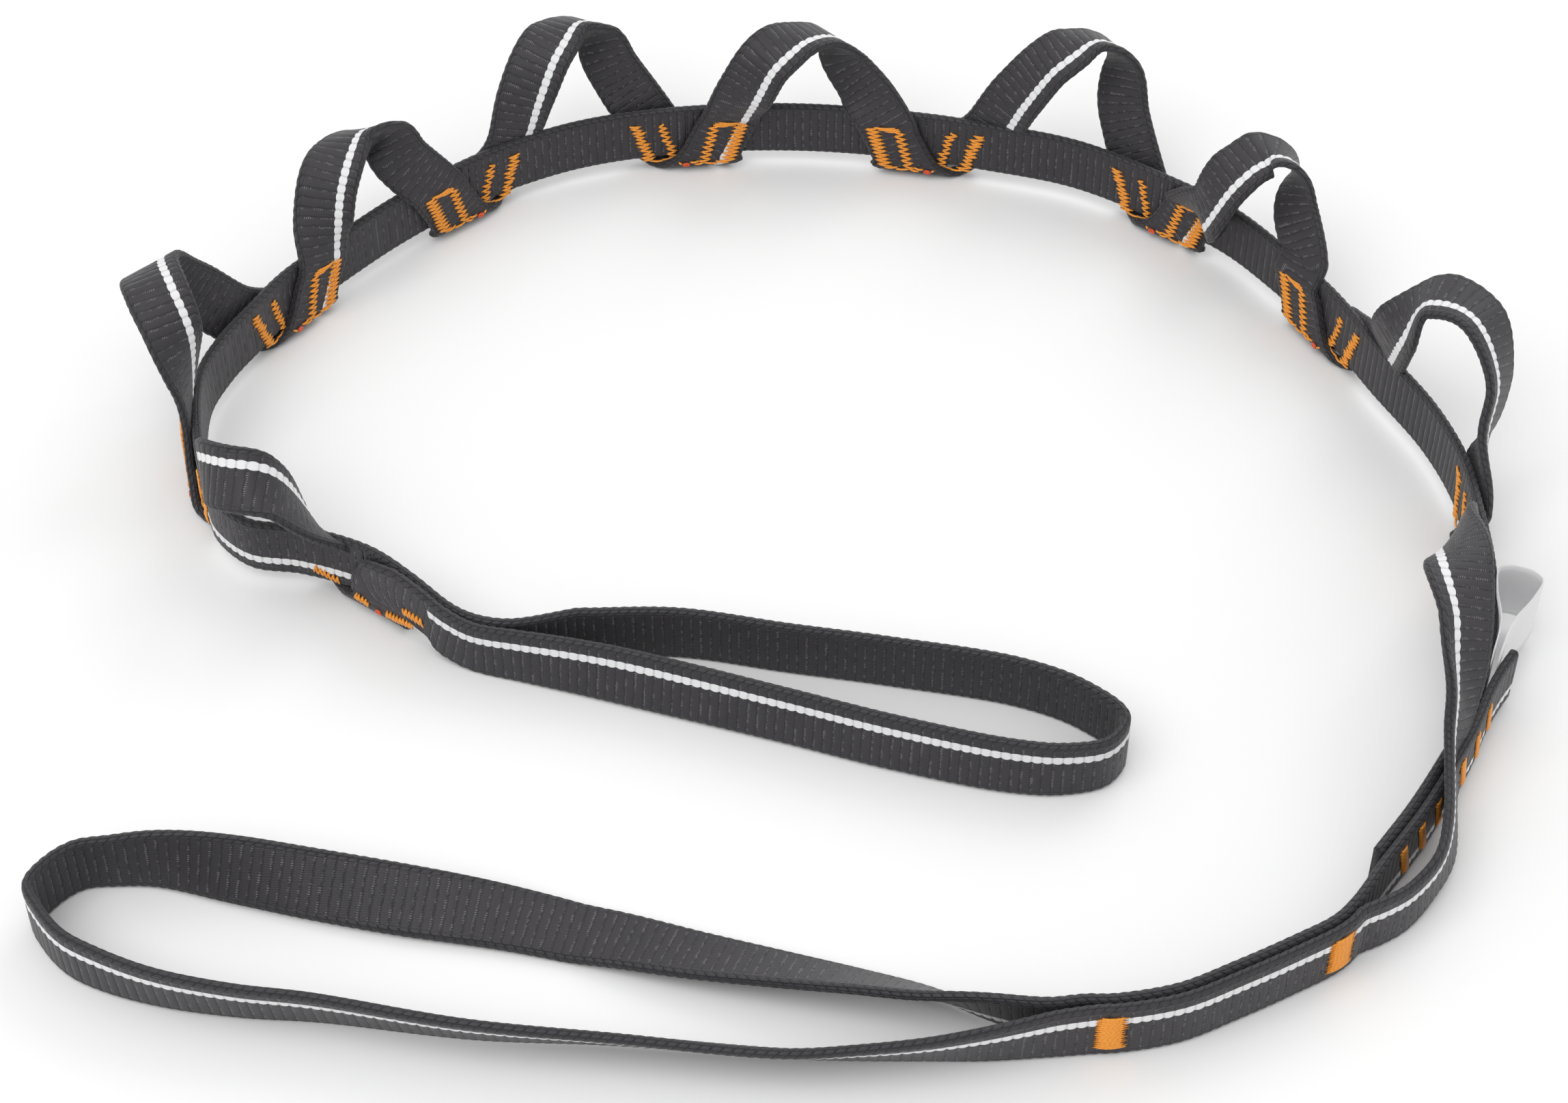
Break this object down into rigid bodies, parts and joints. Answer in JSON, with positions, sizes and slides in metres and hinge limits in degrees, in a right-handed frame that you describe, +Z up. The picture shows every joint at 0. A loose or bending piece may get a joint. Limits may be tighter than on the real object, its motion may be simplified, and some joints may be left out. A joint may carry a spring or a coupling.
{
  "type": "climbing daisy chain",
  "caption": "Sewn webbing daisy chain lying in a ring on its edge: a row of tacked pockets, a small end loop and a big twisted end loop.",
  "frame": {"origin": "centre of the bounding box, on the surface the chain lies on", "axes": "+Z up; +X the long way of the ring, with the small end loop toward -X and the label toward +X; the pockets arch along +Y"},
  "size_m": [0.392, 0.3694, 0.0454],
  "materials": {
    "webbing": "woven nylon, matt",
    "thread": "bonded thread, slight sheen",
    "label_ribbon": "satin ribbon"
  },
  "bodies": {
    "link_0": {"backbone_0": "webbing", "fold_0": "webbing", "junction_tack_0": "thread", "pocket_0": "webbing", "neck_tack": "thread"},
    "link_1": {"backbone_1": "webbing", "fold_1": "webbing", "junction_tack_1": "thread", "pocket_1": "webbing"},
    "link_2": {"backbone_2": "webbing", "fold_2": "webbing", "junction_tack_2": "thread", "pocket_2": "webbing"},
    "link_3": {"backbone_3": "webbing", "fold_3": "webbing", "junction_tack_3": "thread", "pocket_3": "webbing"},
    "link_4": {"backbone_4": "webbing", "fold_4": "webbing", "junction_tack_4": "thread", "pocket_4": "webbing"},
    "link_5": {"backbone_5": "webbing", "fold_5": "webbing", "junction_tack_5": "thread", "pocket_5": "webbing"},
    "link_6": {"backbone_6": "webbing", "fold_6": "webbing", "junction_tack_6": "thread", "pocket_6": "webbing"},
    "link_7": {"backbone_7": "webbing", "fold_7": "webbing", "junction_tack_7": "thread", "pocket_7": "webbing"},
    "link_8": {"backbone_8": "webbing", "fold_8": "webbing", "junction_tack_8": "thread", "overlap_strap": "webbing", "long_pocket_strap": "webbing", "overlap_tack_0": "thread", "overlap_tack_1": "thread", "overlap_tack_2": "thread", "overlap_tack_3": "thread", "overlap_tack_4": "thread", "overlap_tack_5": "thread", "doubled_tack_a": "thread", "doubled_tack_b": "thread"},
    "small_end_loop": {"small_loop_near": "webbing", "small_loop_far": "webbing"},
    "big_end_loop": {"big_loop_twist": "webbing", "big_loop_far": "webbing", "big_loop_near": "webbing"},
    "label": {"label": "label_ribbon"}
  },
  "joints": [
    {"name": "link_0_flex", "type": "hinge", "parent": "link_1", "child": "link_0", "pos_m": [-0.1565, -0.01209, 0.01345], "axis": [0, 0, 1], "range_deg": [-14, 22], "deforming": ["pocket_0"]},
    {"name": "link_1_flex", "type": "hinge", "parent": "link_2", "child": "link_1", "pos_m": [-0.17362, 0.0567, 0.01345], "axis": [0, 0, -1], "range_deg": [-28, 12], "deforming": ["pocket_1"]},
    {"name": "link_2_flex", "type": "hinge", "parent": "link_3", "child": "link_2", "pos_m": [-0.13364, 0.11867, 0.01345], "axis": [0, 0, 1], "range_deg": [-14, 28], "deforming": ["pocket_2"]},
    {"name": "link_3_flex", "type": "hinge", "parent": "link_4", "child": "link_3", "pos_m": [-0.0759, 0.16208, 0.01345], "axis": [0, 0, -1], "range_deg": [-24, 24], "deforming": ["pocket_3"]},
    {"name": "link_4_flex", "type": "hinge", "parent": "link_5", "child": "link_4", "pos_m": [-0.00288, 0.17162, 0.01345], "axis": [0, 0, 1], "range_deg": [-28, 20], "deforming": ["pocket_4"]},
    {"name": "link_5_flex", "type": "hinge", "parent": "link_6", "child": "link_5", "pos_m": [0.07238, 0.15614, 0.01345], "axis": [0, 0, -1], "range_deg": [-20, 28], "deforming": ["pocket_5"]},
    {"name": "link_6_flex", "type": "hinge", "parent": "link_7", "child": "link_6", "pos_m": [0.131, 0.11213, 0.01345], "axis": [0, 0, 1], "range_deg": [-28, 20], "deforming": ["pocket_6"]},
    {"name": "link_7_flex", "type": "hinge", "parent": "link_8", "child": "link_7", "pos_m": [0.16897, 0.03998, 0.01345], "axis": [0, 0, -1], "range_deg": [-16, 28], "deforming": ["pocket_7"]},
    {"name": "small_end_loop_flex", "type": "hinge", "parent": "link_0", "child": "small_end_loop", "pos_m": [-0.09227, -0.04601, 0.01345], "axis": [0, 0, 1], "range_deg": [-22, 12]},
    {"name": "big_end_loop_flex", "type": "hinge", "parent": "link_8", "child": "big_end_loop", "pos_m": [0.06136, -0.17027, 0.0091], "axis": [0, 0, 1], "range_deg": [-16, 9]},
    {"name": "label_flex", "type": "hinge", "parent": "link_8", "child": "label", "pos_m": [0.17388, -0.06299, 0.0046], "axis": [0, 0, 1], "range_deg": [-8, 8]}
  ]
}
